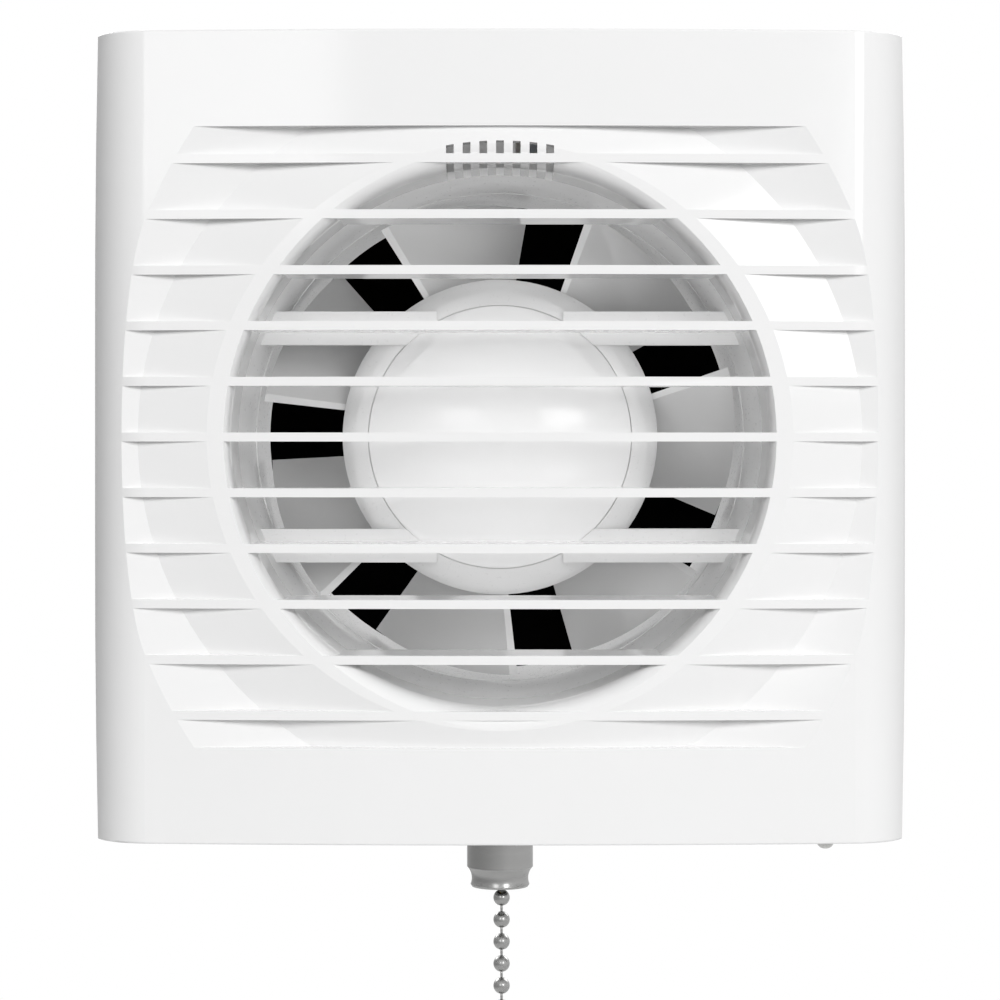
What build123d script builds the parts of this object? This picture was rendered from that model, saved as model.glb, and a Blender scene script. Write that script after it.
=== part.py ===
from build123d import *
import math
import os

# Bathroom extractor fan for a 100 mm duct, with a pull-cord switch.
# Millimetres. Origin: centre of the duct spigot in the wall plane. +X right as seen from the
# room, +Y into the wall along the duct, +Z up. "Depth" counts back from the front of the panel.

# ---------------------------------------------------------------- driving dimensions
FRONT_DEPTH = 34.0  # wall plane behind the front of the panel

PANEL_HALF = 75.0
PANEL_BACK = 33.0
PANEL_WALL = 2.2
PANEL_BOW = 1.15
FACE_RADIUS = 860.0
CORNER_RADIUS = 11.5
CORNER_START = 65.5
EDGE_ROUND = 0.4

SLAT_PITCH = 10.25
SLAT_THICK = 1.65
SLAT_DEPTH = 16.3
SLATS_EACH_SIDE = 5
RECESS_HALF = 57.2
CREASE_RADIUS = 67.0
CREASE_DEPTH = 4.3
CREASE_BACK = 6.4
RECESS_EDGE_RADIUS = 84.0
RECESS_EDGE_BACK = 3.2
RECESS_RISE = 0.185
LIP_RADIUS = 54.0
LIP_DEPTH = 6.0
LIP_BACK = 4.0
THROAT_RADIUS = 49.9
COLLAR_RADIUS = 51.9
COLLAR_BACK = 21.3

VENT_PITCH = 3.07
VENT_WIDTH = 1.43
VENTS_EACH_SIDE = 3
VENT_TOP_RADIUS = 54.45
VENT_SLAT_DEPTH = 3.0

PANEL_SCREW_X = 61.0
PANEL_SCREW_DEPTH = 12.0
PANEL_SCREW_RADIUS = 1.1
PANEL_SCREW_HEAD = 1.75
PANEL_SCREW_HEIGHT = 2.17
HOOK_X = 40.0
HOOK_HALF = 3.0
HOOK_DEPTH = (27.5, 29.5)

BORE_RADIUS = 47.2
SPIGOT_RADIUS = 49.0
SPIGOT_END = 107.0
PLATE_FRONT = 31.0
PLATE_HALF = 71.5
PLATE_CORNER = 6.0
RIM_FRONT = 27.0
RIM_WALL = 1.8
WALL_SCREW = 58.0
WALL_SLOT_LENGTH = 8.0
WALL_SLOT_RADIUS = 2.25
CARRIER_SCREW = 41.0
CARRIER_FRONT = 21.5
CARRIER_RADIUS = 51.4
LUG_FRONT = 25.0

ARM_HEIGHT = 20.8
ARM_HALF = 3.2
ARM_FRONT = 23.0
ARM_BACK = 26.6
POD_RADIUS = 30.3
CAP_RADIUS = 25.1
CAP_FRONT = 18.3
CAP_EDGE = 23.95
CUP_OUTER = 25.5
CUP_INNER = 24.2
CUP_BACK = 56.0

STACK = (34.0, 46.0)
STATOR_OUTER = 24.0
STATOR_INNER = 18.7
STATOR_BORE = 11.3
POLE_HALF = 4.0
POLES = 4
COIL_HALF = 6.8
COIL_ENDS = (30.0, 50.0)
SHAFT_RADIUS = 1.5
BEARING_RADIUS = 3.5
RUNNING_GAP = 0.03
MOTOR_SCREW = 21.1
MOTOR_SCREW_RADIUS = 1.25

BLADES = 7
BLADE_MIDDLE = 101.5
BLADE_TIP = 46.0
BLADE_FRONT = 28.5
BLADE_BACK = 52.0
BLADE_THICK = 0.9
BLADE_LEAD = 1.0
BLADE_CAMBER = 1.6
HUB_RADIUS = 28.5
HUB_FRONT = 29.0
HUB_BACK = 59.5

SWITCH_DEPTH = 16.5
SWITCH_HALF = 14.5
SWITCH_FRONT = 8.5
SWITCH_BACK = 24.5
SWITCH_TOP = -54.5
SWITCH_FLOOR = -72.8
SWITCH_WALL = 1.5
COVER_SCREW = (11.4, -57.6)
BUSHING_RADIUS = 4.75
FORK_GAP = (-60.4, -57.8)
LEVER_PIVOT = (9.6, -61.6)
LEVER_REACH = 5.0
LEVER_REST = 30.0
STEM_RADIUS = 1.9

BELL_RADIUS = 6.22
BELL_END = -84.85
BALL_RADIUS = 1.55
BALL_PITCH = 4.18
CHAIN_X = 0.3
PIVOT_BALL = -82.89
CHAIN_TOP = -84.5
CHAIN_LENGTH = 115.0
PULL_END_LENGTH = 15.0

LEAD_RADIUS = 0.75
MOTOR_LEAD_DEPTH = 25.9
SWITCH_LEAD_DEPTH = 28.1
TERMINAL_DEPTH = 27.0
TERMINAL_POLES = (-38.0, -29.0, -20.0)
TERMINAL_FIXING = (-24.5, 61.5)
TERMINAL_BASE = 56.0
TERMINAL_TOP = 67.0
CLAMP_X = 6.0
CLAMP_POSTS = (56.5, 67.0)
CLAMP_BACK = 27.0
CABLE_HOLE = (20.0, 62.0)
CABLE_HOLE_RADIUS = 5.0


# ---------------------------------------------------------------- shared helpers
def y_at(depth):
    return depth - FRONT_DEPTH


def turned(*outline):
    """Solid turned about the duct axis from (radius, depth) corners."""
    corners = [(radius, y_at(depth)) for radius, depth in outline]
    return revolve(make_face(Polyline(*corners, close=True)), Axis.Y)


def turned_upright(x, depth, *outline):
    """Solid turned about an upright axis from (radius, z) corners."""
    profile = Plane.XZ * make_face(Polyline(*outline, close=True))
    return Pos(x, y_at(depth), 0) * revolve(profile, Axis.Z)


def block(x, depth, z):
    """Box between pairs of limits."""
    middle = Pos((x[0] + x[1]) / 2, y_at((depth[0] + depth[1]) / 2), (z[0] + z[1]) / 2)
    return middle * Box(x[1] - x[0], depth[1] - depth[0], z[1] - z[0])


def rod(radius, depth, x=0.0, z=0.0):
    """Cylinder along the duct axis direction."""
    middle = Pos(x, y_at((depth[0] + depth[1]) / 2), z)
    return middle * Rot(X=90) * Cylinder(radius, depth[1] - depth[0])


def post(radius, z, x, depth):
    """Upright cylinder."""
    return Pos(x, y_at(depth), (z[0] + z[1]) / 2) * Cylinder(radius, z[1] - z[0])


def beam(radius, x, depth, z):
    """Cylinder along X."""
    return Pos((x[0] + x[1]) / 2, y_at(depth), z) * Rot(Y=90) * Cylinder(radius, x[1] - x[0])


def corners_of(distance):
    """The four points at plus and minus the distance in X and Z."""
    return [(x, z) for x in (-distance, distance) for z in (-distance, distance)]


def joined(shapes):
    total = shapes[0]
    for shape in shapes[1:]:
        total = total + shape
    return total


def save(node, shape):
    export_step(shape, f"parts/{node}.step")


# ---------------------------------------------------------------- front panel
def face_depth(x):
    """Depth of the gently bowed front face."""
    return x * x / (2 * FACE_RADIUS)


def panel_form(inset, back):
    """The panel's outer form moved in evenly by the inset."""
    lean = math.asin(CORNER_START / FACE_RADIUS)
    face_r = FACE_RADIUS - inset
    corner_r = CORNER_RADIUS - inset
    reach = FACE_RADIUS - CORNER_RADIUS
    centre = (reach * math.sin(lean), y_at(FACE_RADIUS - reach * math.cos(lean)))
    turn = (face_r * math.sin(lean), y_at(FACE_RADIUS - face_r * math.cos(lean)))
    half_turn = (lean - math.pi / 2) / 2
    bend = (
        centre[0] + corner_r * math.cos(half_turn),
        centre[1] + corner_r * math.sin(half_turn),
    )
    side = centre[0] + corner_r
    mirrored = [(-x, y) for x, y in (turn, bend, (side, centre[1]))]
    plan = (
        ThreePointArc(mirrored[0], (0, y_at(inset)), turn)
        + ThreePointArc(turn, bend, (side, centre[1]))
        + Polyline((side, centre[1]), (side, y_at(back)), (-side, y_at(back)), mirrored[2])
        + ThreePointArc(mirrored[2], mirrored[1], mirrored[0])
    )
    half = PANEL_HALF - inset
    outline = (
        Line((-side + PANEL_BOW, half), (side - PANEL_BOW, half))
        + ThreePointArc((side - PANEL_BOW, half), (side, 0), (side - PANEL_BOW, -half))
        + Line((side - PANEL_BOW, -half), (-side + PANEL_BOW, -half))
        + ThreePointArc((-side + PANEL_BOW, -half), (-side, 0), (-side + PANEL_BOW, half))
    )
    upright = extrude(make_face(plan), half, both=True)
    through = extrude(Plane.XZ * make_face(outline), 2 * FRONT_DEPTH, both=True)
    return upright & through


def rounded_edges(form):
    """Slight rounding where the front face meets the top and bottom walls."""
    edges = form.edges().filter_by(lambda e: abs(abs(e.center().Z) - PANEL_HALF) < 0.01)
    front = [e for e in edges if e.center().Y < y_at(CORNER_RADIUS)]
    return fillet(front, EDGE_ROUND)


def groove_half(side):
    """Inner half of the recess: from the lip's crest down to the crease, on one side."""
    steps = 12
    overrun = 2.5
    radius = LIP_RADIUS - overrun
    crest = []
    for step in range(steps + 1):
        turn = math.pi * step / steps
        depth = face_depth(LIP_RADIUS * math.sin(turn))
        depth = depth - overrun * (CREASE_DEPTH - depth) / (CREASE_RADIUS - LIP_RADIUS)
        crest.append((side * radius * math.sin(turn), y_at(depth), radius * math.cos(turn)))
    crease_y = y_at(CREASE_DEPTH)
    crease = ThreePointArc(
        (0, crease_y, CREASE_RADIUS),
        (side * CREASE_RADIUS, crease_y, 0),
        (0, crease_y, -CREASE_RADIUS),
    )
    floor = Face.make_surface_from_curves(Edge.make_spline(crest), crease.edge())
    return Solid.extrude(floor, Vector(0, -CORNER_RADIUS, 0))


def recess_form():
    """The shallow ring-shaped recess, as the pieces of space it takes out of the face."""
    edge_depth = CREASE_DEPTH - RECESS_RISE * (RECESS_EDGE_RADIUS - CREASE_RADIUS)
    outer = turned(
        (CREASE_RADIUS, CREASE_DEPTH),
        (RECESS_EDGE_RADIUS, edge_depth),
        (RECESS_EDGE_RADIUS, -CORNER_RADIUS),
        (CREASE_RADIUS, -CORNER_RADIUS),
    )
    reach = (-RECESS_EDGE_RADIUS, RECESS_EDGE_RADIUS)
    zone = block(reach, (-CORNER_RADIUS, FRONT_DEPTH), (-RECESS_HALF, RECESS_HALF))
    return [piece & zone for piece in (groove_half(-1), groove_half(1), outer)]


def throat_form():
    """The rounded inlet opening, as the space it takes out."""
    ahead = y_at(-CORNER_RADIUS)
    behind = y_at(FRONT_DEPTH)
    start = (LIP_RADIUS, y_at(0))
    end = (THROAT_RADIUS, y_at(LIP_DEPTH))
    outline = (
        Polyline((0, ahead), (LIP_RADIUS, ahead), start)
        + Bezier(start, (THROAT_RADIUS, y_at(0)), end)
        + Polyline(end, (THROAT_RADIUS, behind), (0, behind), (0, ahead))
    )
    return revolve(make_face(outline), Axis.Y)


def slats():
    """Level slats across the recess and the opening, with their fronts on the bowed face."""
    reach = (-RECESS_EDGE_RADIUS, RECESS_EDGE_RADIUS)
    bars = []
    for k in range(-SLATS_EACH_SIDE, SLATS_EACH_SIDE + 1):
        middle = k * SLAT_PITCH
        thick = (middle - SLAT_THICK / 2, middle + SLAT_THICK / 2)
        bars.append(block(reach, (-1, SLAT_DEPTH), thick))
    return panel_form(0, PANEL_BACK) & joined(bars) & rod(RECESS_EDGE_RADIUS, (-1, SLAT_DEPTH))


def vent_slots():
    """Row of upright slots through the lip above the opening."""
    top_slat = SLATS_EACH_SIDE * SLAT_PITCH
    slat = (top_slat - SLAT_THICK / 2, top_slat + SLAT_THICK / 2)
    through = (-1, COLLAR_BACK + 1)
    slots = []
    for k in range(-VENTS_EACH_SIDE, VENTS_EACH_SIDE + 1):
        middle = k * VENT_PITCH
        sides = (middle - VENT_WIDTH / 2, middle + VENT_WIDTH / 2)
        slots.append(block(sides, through, (BORE_RADIUS, PANEL_HALF)))
    row = joined(slots) & rod(VENT_TOP_RADIUS, through)
    return row - block((-PANEL_HALF, PANEL_HALF), (-1, VENT_SLAT_DEPTH), slat)


def panel_cavity():
    """Space behind the face, leaving the wall under the recess, the collar and the slats."""
    backing = turned(
        (0, -1),
        (RECESS_EDGE_RADIUS, -1),
        (RECESS_EDGE_RADIUS, RECESS_EDGE_BACK),
        (CREASE_RADIUS, CREASE_BACK),
        (LIP_RADIUS, LIP_BACK),
        (COLLAR_RADIUS, LIP_BACK),
        (COLLAR_RADIUS, COLLAR_BACK),
        (THROAT_RADIUS - 1, COLLAR_BACK),
        (THROAT_RADIUS - 1, SLAT_DEPTH),
        (0, SLAT_DEPTH),
    )
    return panel_form(PANEL_WALL, PANEL_BACK + PANEL_WALL) - backing


def front_panel():
    panel = rounded_edges(panel_form(0, PANEL_BACK))
    for piece in recess_form():
        panel = panel - piece
    panel = panel - throat_form() + slats() - panel_cavity() - vent_slots()
    floor = (-PANEL_HALF - 1, SWITCH_FLOOR + 1)
    panel = panel - post(BUSHING_RADIUS + 0.15, floor, 0, SWITCH_DEPTH)
    panel = panel - post(PANEL_SCREW_RADIUS, floor, PANEL_SCREW_X, PANEL_SCREW_DEPTH)
    for x in (-HOOK_X, HOOK_X):
        hook = block((x - HOOK_HALF, x + HOOK_HALF), HOOK_DEPTH, (70.2, PANEL_HALF - 1))
        panel = panel + hook
    return panel


# ---------------------------------------------------------------- panel fixing
def panel_screw():
    """Round-headed self-tapping screw up through the panel's bottom wall."""
    top = -PANEL_HALF
    shoulder = (PANEL_SCREW_HEAD, top)
    crown = Bezier(
        shoulder,
        (PANEL_SCREW_HEAD, top - PANEL_SCREW_HEIGHT),
        (0, top - PANEL_SCREW_HEIGHT),
    )
    outline = crown + Polyline((0, top - PANEL_SCREW_HEIGHT), (0, top), shoulder)
    place = Pos(PANEL_SCREW_X, y_at(PANEL_SCREW_DEPTH), 0)
    head = place * revolve(Plane.XZ * make_face(outline), Axis.Z)
    slot = block(
        (PANEL_SCREW_X - 2, PANEL_SCREW_X + 2),
        (PANEL_SCREW_DEPTH - 0.25, PANEL_SCREW_DEPTH + 0.25),
        (top - 3, top - 1.5),
    )
    shank = post(PANEL_SCREW_RADIUS, (top, -66.5), PANEL_SCREW_X, PANEL_SCREW_DEPTH)
    return head + shank - slot


# ---------------------------------------------------------------- rear housing
def wall_slot(x, z):
    """Slotted hole for a wall screw, long in X."""
    flat = WALL_SLOT_LENGTH / 2 - WALL_SLOT_RADIUS
    depth = (PLATE_FRONT - 1, FRONT_DEPTH + 1)
    middle = block((x - flat, x + flat), depth, (z - WALL_SLOT_RADIUS, z + WALL_SLOT_RADIUS))
    ends = [rod(WALL_SLOT_RADIUS, depth, x + side * flat, z) for side in (-1, 1)]
    return middle + ends[0] + ends[1]


def rounded_square(half, corner, depth):
    sketch = Plane.XZ * RectangleRounded(2 * half, 2 * half, corner)
    plate = extrude(sketch, -(depth[1] - depth[0]))
    return Pos(0, y_at(depth[0]), 0) * plate


def rear_housing():
    """Base plate with its rim, the duct spigot and the moulded posts."""
    plate = rounded_square(PLATE_HALF, PLATE_CORNER, (RIM_FRONT, FRONT_DEPTH))
    inside = PLATE_HALF - RIM_WALL
    plate = plate - rounded_square(inside, PLATE_CORNER - RIM_WALL, (RIM_FRONT, PLATE_FRONT))
    housing = plate + rod(SPIGOT_RADIUS, (FRONT_DEPTH - 1, SPIGOT_END))
    pillar_x = (PANEL_SCREW_X - 3.5, PANEL_SCREW_X + 3.5)
    pillar = block(pillar_x, (PANEL_SCREW_DEPTH - 3.5, FRONT_DEPTH - 1), (-71.3, -65.0))
    housing = housing + pillar
    for x, z in corners_of(CARRIER_SCREW):
        housing = housing + rod(3.5, (LUG_FRONT + 2, FRONT_DEPTH - 1), x, z)
    for z in CLAMP_POSTS:
        housing = housing + rod(2.8, (CLAMP_BACK, FRONT_DEPTH - 1), CLAMP_X, z)
    housing = housing - rod(BORE_RADIUS, (PLATE_FRONT - 1, SPIGOT_END + 1))
    for x, z in corners_of(CARRIER_SCREW):
        housing = housing - rod(1.2, (LUG_FRONT, FRONT_DEPTH - 1), x, z)
    for x, z in corners_of(WALL_SCREW):
        housing = housing - wall_slot(x, z)
    for z in CLAMP_POSTS:
        housing = housing - rod(1.0, (CLAMP_BACK - 1, FRONT_DEPTH - 1), CLAMP_X, z)
    housing = housing - rod(CABLE_HOLE_RADIUS, (PLATE_FRONT - 1, FRONT_DEPTH + 1), *CABLE_HOLE)
    housing = housing - rod(1.2, (PLATE_FRONT - 1, 33.0), *TERMINAL_FIXING)
    screw_hole = post(PANEL_SCREW_RADIUS, (-75, -66.5), PANEL_SCREW_X, PANEL_SCREW_DEPTH)
    housing = housing - screw_hole
    for x in (-HOOK_X, HOOK_X):
        slot = (x - HOOK_HALF - 1, x + HOOK_HALF + 1)
        depth = (HOOK_DEPTH[0] - 0.3, HOOK_DEPTH[1] + 0.3)
        housing = housing - block(slot, depth, (69.0, 72.0))
    return housing


# ---------------------------------------------------------------- motor carrier
def carrier_ring():
    """Funnel between the panel's opening and the duct bore, with four screw lugs."""
    front = (THROAT_RADIUS, y_at(CARRIER_FRONT))
    back = (BORE_RADIUS + 0.1, y_at(PLATE_FRONT))
    outline = (
        Bezier(front, (BORE_RADIUS + 0.1, y_at(CARRIER_FRONT + 4)), back)
        + Polyline(back, (CARRIER_RADIUS, y_at(PLATE_FRONT)))
        + Polyline((CARRIER_RADIUS, y_at(PLATE_FRONT)), (CARRIER_RADIUS, y_at(CARRIER_FRONT)))
        + Line((CARRIER_RADIUS, y_at(CARRIER_FRONT)), front)
    )
    ring = revolve(make_face(outline), Axis.Y)
    lug_depth = (LUG_FRONT, LUG_FRONT + 2)
    radius = CARRIER_SCREW * math.sqrt(2)
    for turn in (45, 135, 225, 315):
        arm = block((CARRIER_RADIUS - 0.8, radius), lug_depth, (-4.5, 4.5))
        lug = arm + rod(4.5, lug_depth, radius) - rod(1.7, (LUG_FRONT - 1, 28), radius)
        ring = ring + Rot(Y=turn) * lug
    return ring


def motor_cup():
    """Rim that shows round the cap, and the cup behind it that holds the motor."""
    seam = (CAP_RADIUS + 0.2, y_at(CAP_EDGE))
    rim = (POD_RADIUS, y_at(26.8))
    inner_points = [
        (POD_RADIUS, 27.6),
        (CUP_OUTER, 27.6),
        (CUP_OUTER, CUP_BACK),
        (6.0, CUP_BACK),
        (6.0, CUP_BACK - 1.5),
        (CUP_INNER, CUP_BACK - 1.5),
        (CUP_INNER, CAP_EDGE + 0.6),
        (CAP_RADIUS + 0.2, CAP_EDGE + 0.6),
    ]
    corners = [(radius, y_at(depth)) for radius, depth in inner_points]
    outline = Bezier(seam, (28.6, y_at(24.6)), rim) + Polyline(rim, *corners, seam)
    cup = revolve(make_face(outline), Axis.Y)
    for x in (-MOTOR_SCREW, MOTOR_SCREW):
        foot = rod(3.0, (51.8, CUP_BACK - 1), x) & rod(CUP_OUTER - 0.5, (50, CUP_BACK))
        cup = cup + foot - rod(MOTOR_SCREW_RADIUS, (51, 54), x)
    return cup


def motor_carrier():
    """Inlet funnel, four hollow-backed arms and the motor cup, moulded in one."""
    carrier = carrier_ring() + motor_cup()
    inner = rod(CARRIER_RADIUS - 0.8, (ARM_FRONT - 1, ARM_BACK + 1))
    inner = inner - rod(CUP_OUTER - 0.4, (ARM_FRONT - 2, ARM_BACK + 2))
    for x in ((-CARRIER_RADIUS, -CUP_INNER / 2), (CUP_INNER / 2, CARRIER_RADIUS)):
        for z in (-ARM_HEIGHT, ARM_HEIGHT):
            arm = block(x, (ARM_FRONT, ARM_BACK), (z - ARM_HALF, z + ARM_HALF))
            carrier = carrier + (arm & inner)
    for x in ((-CARRIER_RADIUS - 1, -CUP_INNER / 2), (CUP_INNER / 2, CARRIER_RADIUS + 1)):
        for z in (-ARM_HEIGHT, ARM_HEIGHT):
            channel = block(x, (24.9, ARM_BACK + 0.3), (z - 1.9, z + 1.9))
            carrier = carrier - channel
    return carrier


def carrier_screws():
    screws = []
    for x, z in corners_of(CARRIER_SCREW):
        head = rod(2.8, (LUG_FRONT - 1.8, LUG_FRONT), x, z)
        recess = block((x - 2, x + 2), (22.5, 24.0), (z - 0.4, z + 0.4))
        screws.append(head + rod(1.2, (LUG_FRONT, 32.0), x, z) - recess)
    return joined(screws)


def dome(radius, centre_y, reach):
    """Front arc of a dome from its rim to the axis, centred on the axis."""
    half_angle = math.degrees(math.asin(reach / radius))
    return CenterArc((0, centre_y), radius, -90, half_angle)


def motor_cap():
    """Domed cover over the front of the motor."""
    sagitta = CAP_EDGE - CAP_FRONT
    radius = (CAP_RADIUS**2 + sagitta**2) / (2 * sagitta)
    centre = y_at(CAP_FRONT + radius)
    seat = y_at(CAP_EDGE + 0.6)
    skirt = CUP_INNER - 0.2
    skirt_back = y_at(CAP_EDGE + 1.1)
    outer = dome(radius, centre, CAP_RADIUS)
    inner = dome(radius - 1.6, centre, skirt - 1.4)
    rim = Polyline(
        outer @ 1,
        (CAP_RADIUS, seat),
        (skirt, seat),
        (skirt, skirt_back),
        (skirt - 1.4, skirt_back),
        inner @ 1,
    )
    return revolve(make_face(outer + rim + inner + Line(inner @ 0, outer @ 0)), Axis.Y)


# ---------------------------------------------------------------- motor
def around_poles(shape):
    """Copies of a shape made on +X, one for each pole."""
    return joined([Rot(Y=45 + 360 / POLES * k) * shape for k in range(POLES)])


def stator_core():
    ring = rod(STATOR_OUTER, STACK) - rod(STATOR_INNER, (STACK[0] - 1, STACK[1] + 1))
    pole = block((STATOR_BORE - 1, STATOR_INNER + 1), STACK, (-POLE_HALF, POLE_HALF))
    notch = block((STATOR_BORE - 1, 12.6), (STACK[0] - 1, STACK[1] + 1), (0.6, 1.4))
    core = ring + around_poles(pole - notch)
    core = core - rod(STATOR_BORE, (STACK[0] - 1, STACK[1] + 1))
    for x in (-MOTOR_SCREW, MOTOR_SCREW):
        core = core - rod(MOTOR_SCREW_RADIUS, (STACK[0] - 1, STACK[1] + 1), x)
    return core


def pole_frame(radial, half_out, ends_out, half_in, ends_in):
    """Rectangular frame round a pole."""
    outer = block(radial, ends_out, (-half_out, half_out))
    return outer - block((radial[0] - 1, radial[1] + 1), ends_in, (-half_in, half_in))


def coil_bobbins():
    core_half = POLE_HALF + 0.05
    core_ends = (STACK[0] - 0.05, STACK[1] + 0.05)
    tube = pole_frame((13.0, 17.4), POLE_HALF + 0.6, (33.4, 46.6), core_half, core_ends)
    for radial in ((13.0, 13.5), (16.9, 17.4)):
        tube = tube + pole_frame(radial, COIL_HALF, COIL_ENDS, core_half, core_ends)
    return around_poles(tube)


def stator_coils():
    coil = pole_frame((13.5, 16.9), COIL_HALF - 0.2, (30.2, 49.8), POLE_HALF + 0.6, (33.4, 46.6))
    return around_poles(coil)


def shading_rings():
    outer = block((11.6, 12.6), (33.2, 46.8), (0.6, 4.8))
    return around_poles(outer - block((11, 13), STACK, (1.4, POLE_HALF)))


def motor_bracket(plate, foot, boss):
    """Bridge across the stator with a boss for one bearing."""
    bridge = block((-23.4, 23.4), plate, (-3.5, 3.5)) + rod(5.5, boss)
    for x in (-MOTOR_SCREW, MOTOR_SCREW):
        bridge = bridge + rod(2.85, foot, x)
        bridge = bridge - rod(MOTOR_SCREW_RADIUS, (plate[0] - 8, plate[1] + 8), x)
    return bridge - rod(BEARING_RADIUS, (boss[0] - 1, boss[1] + 1))


def bearing(depth):
    bush = rod(BEARING_RADIUS, depth)
    return bush - rod(SHAFT_RADIUS + RUNNING_GAP, (depth[0] - 1, depth[1] + 1))


def motor_screws():
    screws = []
    for x in (-MOTOR_SCREW, MOTOR_SCREW):
        head = rod(2.6, (26.6, 28.2), x)
        slot = block((x - 3, x + 3), (26, 27.3), (-0.4, 0.4))
        screws.append(head + rod(MOTOR_SCREW_RADIUS, (28.2, 54.0), x) - slot)
    return joined(screws)


# ---------------------------------------------------------------- rotor
def shaft():
    return rod(SHAFT_RADIUS, (27.2, 66.0))


def rotor_core():
    core = rod(11.0, STACK) + rod(9.5, (33.4, 46.6))
    return core - rod(SHAFT_RADIUS, (30, 50))


def thrust_washers():
    washers = []
    for depth in ((32.7, 33.4), (46.6, 47.3)):
        washers.append(rod(3.2, depth) - rod(SHAFT_RADIUS, (depth[0] - 1, depth[1] + 1)))
    return joined(washers)


def blade_section(reach, half_width):
    """Cambered blade section on the plane at a given reach along +X."""
    front = (half_width + BLADE_LEAD, y_at(BLADE_FRONT - 2))
    back = (-half_width, y_at(BLADE_BACK + 2))
    run = (back[0] - front[0], back[1] - front[1])
    length = math.hypot(*run)
    across = (-run[1] / length, run[0] / length)

    def offset(share, away):
        return (
            front[0] + share * run[0] + away * across[0],
            front[1] + share * run[1] + away * across[1],
        )

    half = BLADE_THICK / 2
    outer = ThreePointArc(offset(0, half), offset(0.5, half + BLADE_CAMBER), offset(1, half))
    inner = ThreePointArc(offset(1, -half), offset(0.5, BLADE_CAMBER - half), offset(0, -half))
    ends = [Line(outer @ 1, inner @ 0), Line(inner @ 1, outer @ 0)]
    plane = Plane(origin=(reach, 0, 0), x_dir=(0, 0, 1), z_dir=(-1, 0, 0))
    return plane * make_face(outer + ends[0] + inner + ends[1])


def impeller_blade():
    """One twisted blade, built on +X between the hub and the tip circle."""
    inner_reach, outer_reach = 24.0, 50.0
    root = (27.16, 8.64)
    tip = (43.2, 15.7)
    slope = (tip[1] - root[1]) / (tip[0] - root[0])
    sections = []
    for reach in (inner_reach, outer_reach):
        sections.append(blade_section(reach, root[1] + slope * (reach - root[0])))
    blade = loft(sections, ruled=True)
    band = rod(BLADE_TIP, (BLADE_FRONT, BLADE_BACK)) - rod(HUB_RADIUS - 0.3, (20, 60))
    return blade & band


def impeller():
    hub = turned(
        (27.0, HUB_FRONT),
        (HUB_RADIUS, HUB_FRONT),
        (HUB_RADIUS, HUB_BACK - 3),
        (HUB_RADIUS - 3, HUB_BACK),
        (5.0, HUB_BACK),
        (5.0, 64.0),
        (SHAFT_RADIUS, 64.0),
        (SHAFT_RADIUS, HUB_BACK - 2),
        (24.5, HUB_BACK - 2),
        (27.0, HUB_BACK - 4),
    )
    blade = impeller_blade()
    fan = hub
    for k in range(BLADES):
        fan = fan + Rot(Y=-(BLADE_MIDDLE + 360 / BLADES * k)) * blade
    return fan


def impeller_clip():
    """Spring clip that holds the impeller on the end of the shaft."""
    ring = rod(3.4, (64.0, 64.8)) - rod(SHAFT_RADIUS, (63, 66))
    return ring - block((-0.9, 0.9), (63, 66), (-5, 0))


# ---------------------------------------------------------------- terminal block and cable clamp
def terminal_screw_places():
    return [(x, z) for x in TERMINAL_POLES for z in (59.3, 63.7)]


def terminal_block():
    body = block((-43.5, -14.5), (19.0, PLATE_FRONT), (TERMINAL_BASE, TERMINAL_TOP))
    for x in TERMINAL_POLES:
        body = body - post(2.8, (TERMINAL_BASE - 1, TERMINAL_TOP + 1), x, TERMINAL_DEPTH)
    for x, z in terminal_screw_places():
        body = body - rod(1.5, (18, TERMINAL_DEPTH), x, z)
    body = body - rod(2.2, (18, 22.5), *TERMINAL_FIXING)
    return body - rod(1.2, (18, 32), *TERMINAL_FIXING)


def terminal_inserts():
    inserts = []
    for x in TERMINAL_POLES:
        tube = post(2.8, (57.2, 65.8), x, TERMINAL_DEPTH)
        inserts.append(tube - post(1.9, (56, 67), x, TERMINAL_DEPTH))
    total = joined(inserts)
    for x, z in terminal_screw_places():
        total = total - rod(1.5, (18, TERMINAL_DEPTH), x, z)
    return total


def terminal_screws():
    screws = []
    for x, z in terminal_screw_places():
        slot = block((x - 2, x + 2), (19, 20.8), (z - 0.25, z + 0.25))
        screws.append(rod(1.5, (20.0, 24.9), x, z) - slot)
    return joined(screws)


def terminal_fixing_screw():
    x, z = TERMINAL_FIXING
    slot = block((x - 3, x + 3), (20, 21.7), (z - 0.35, z + 0.35))
    return rod(2.1, (21.0, 22.5), x, z) + rod(1.2, (22.5, 33.0), x, z) - slot


def cable_clamp():
    """Bar that grips the supply cable."""
    bar = block((CLAMP_X - 3, CLAMP_X + 3), (24.6, CLAMP_BACK), (53.6, 69.6))
    for z in CLAMP_POSTS:
        bar = bar - rod(1.3, (20, 28), CLAMP_X, z)
    return bar - beam(3.2, (CLAMP_X - 5, CLAMP_X + 5), 29.0, sum(CLAMP_POSTS) / 2)


def cable_clamp_screws():
    screws = []
    for z in CLAMP_POSTS:
        slot = block((CLAMP_X - 3, CLAMP_X + 3), (22, 23.8), (z - 0.3, z + 0.3))
        shank = rod(1.0, (24.6, 31.5), CLAMP_X, z)
        screws.append(rod(2.1, (23.0, 24.6), CLAMP_X, z) + shank - slot)
    return joined(screws)


# ---------------------------------------------------------------- internal leads
def lead(depth, bend, *route):
    """Insulated wire in one plane along a route of (x, z) points."""
    path = Plane.XZ * FilletPolyline(*route, radius=bend)
    path = Pos(0, y_at(depth), 0) * path
    section = Plane(origin=path @ 0, z_dir=path % 0) * Circle(LEAD_RADIUS)
    return sweep(section, path)


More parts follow.
